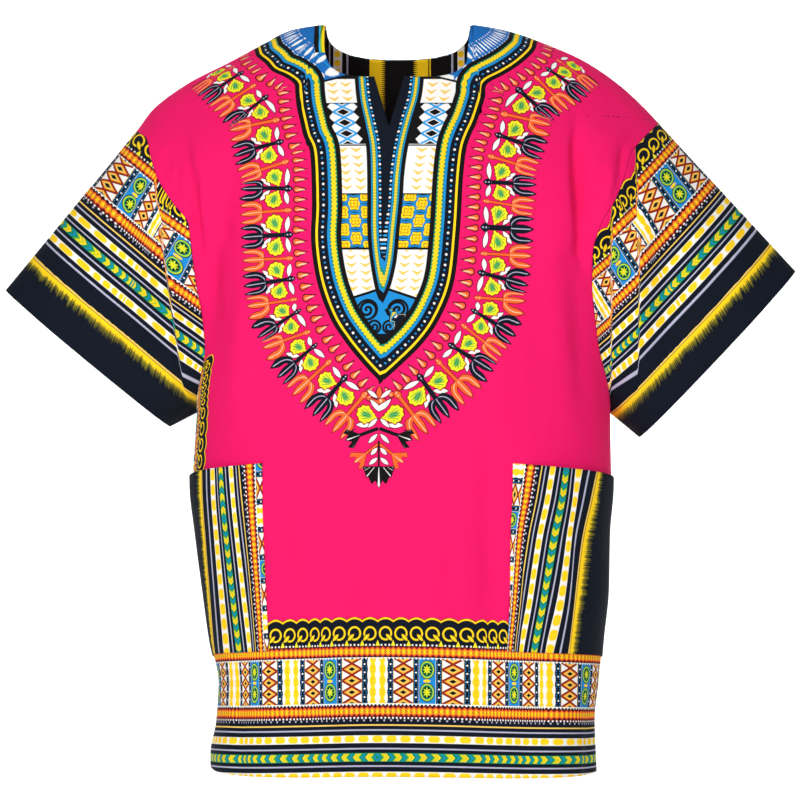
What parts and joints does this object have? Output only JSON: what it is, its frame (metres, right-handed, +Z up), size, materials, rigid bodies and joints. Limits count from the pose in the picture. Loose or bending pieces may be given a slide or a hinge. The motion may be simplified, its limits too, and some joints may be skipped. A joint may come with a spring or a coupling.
{
  "type": "dashiki shirt",
  "caption": "Loose short-sleeved pullover tunic of printed cotton with a slit neck and patch pockets, filled out as if worn.",
  "frame": {"origin": "between the two neck points, where the wearer's shoulders carry the shirt", "axes": "front faces -Y, the viewer's right is +X, +Z up"},
  "size_m": [0.788, 0.279, 0.7401],
  "materials": {
    "pink_ground": "plain-weave cotton, printed, pink ground",
    "navy_border": "plain-weave cotton, printed, near-black ground with a banded border",
    "facing_black": "plain-weave cotton, black ground with stripes"
  },
  "bodies": {
    "root": {"front": "pink_ground", "back": "pink_ground", "sleeve_left": "navy_border", "sleeve_right": "navy_border", "pocket_left": "navy_border", "pocket_right": "navy_border", "neck_facing": "facing_black"}
  },
  "joints": []
}
